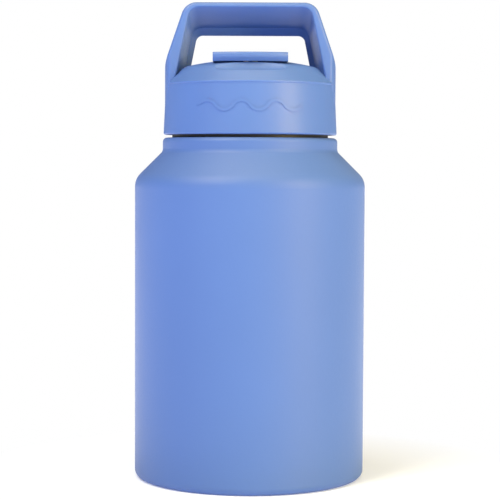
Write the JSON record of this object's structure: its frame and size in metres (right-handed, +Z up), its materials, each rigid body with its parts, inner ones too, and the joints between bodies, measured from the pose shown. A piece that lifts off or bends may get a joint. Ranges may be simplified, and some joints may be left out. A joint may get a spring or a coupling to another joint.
{
  "type": "insulated water jug",
  "caption": "Wide vacuum-insulated steel water jug with a screw lid, fixed loop handle, and a flip-up spout with a straw.",
  "frame": {"origin": "centre of the foot ring, on the plane the jug stands on", "axes": "+Z up along the jug's axis, -Y towards the drinker, +X along the spout's hinge"},
  "size_m": [0.127, 0.127, 0.2609],
  "materials": {
    "powder_coat": "fine matte powder coat over steel",
    "bare_steel": "satin stainless steel",
    "polished_steel": "electropolished stainless steel",
    "copper": "bare copper foil",
    "getter": "pressed grey powder tablet",
    "seal_glass": "fused glass bead",
    "lid_plastic": "moulded polypropylene with a fine satin grain",
    "black_plastic": "black moulded polypropylene",
    "foam": "white polyurethane foam",
    "clear_silicone": "translucent soft silicone",
    "black_silicone": "black silicone",
    "straw_plastic": "translucent polypropylene tube",
    "spout_plastic": "moulded polypropylene with a fine satin grain"
  },
  "bodies": {
    "jug": {"outer_shell": "powder_coat", "base_cup": "bare_steel", "vacuum_seal": "seal_glass", "base_plate": "bare_steel", "inner_flask": "polished_steel", "copper_foil": "copper", "getter_pill": "getter", "getter_holder": "bare_steel"},
    "gasket": {"lid_gasket": "black_silicone"},
    "lid": {"lid_cap": "lid_plastic", "lid_plug": "black_plastic", "plug_cover": "black_plastic", "plug_foam": "foam", "straw_grommet": "clear_silicone", "straw": "straw_plastic", "vent_valve": "clear_silicone", "port_seal": "clear_silicone", "pivot_pins": "bare_steel"},
    "spout": {"spout_barrel": "spout_plastic", "mouthpiece": "clear_silicone", "spout_cover": "spout_plastic"}
  },
  "joints": [
    {"name": "lid_rise", "type": "slide", "parent": "jug", "child": "gasket", "axis": [0, 0, 1], "range_m": [0, 0.0062]},
    {"name": "lid_turn", "type": "hinge", "parent": "gasket", "child": "lid", "pos_m": [0, 0, 0.19], "axis": [0, 0, 1], "range_deg": [0, 540]},
    {"name": "spout_flip", "type": "hinge", "parent": "lid", "child": "spout", "pos_m": [0, -0.007, 0.226], "axis": [-1, 0, 0], "range_deg": [0, 85]}
  ],
  "couplings": [
    {"joint": "lid_rise", "follows": "lid_turn", "m_per_rad": 0.00063662}
  ]
}
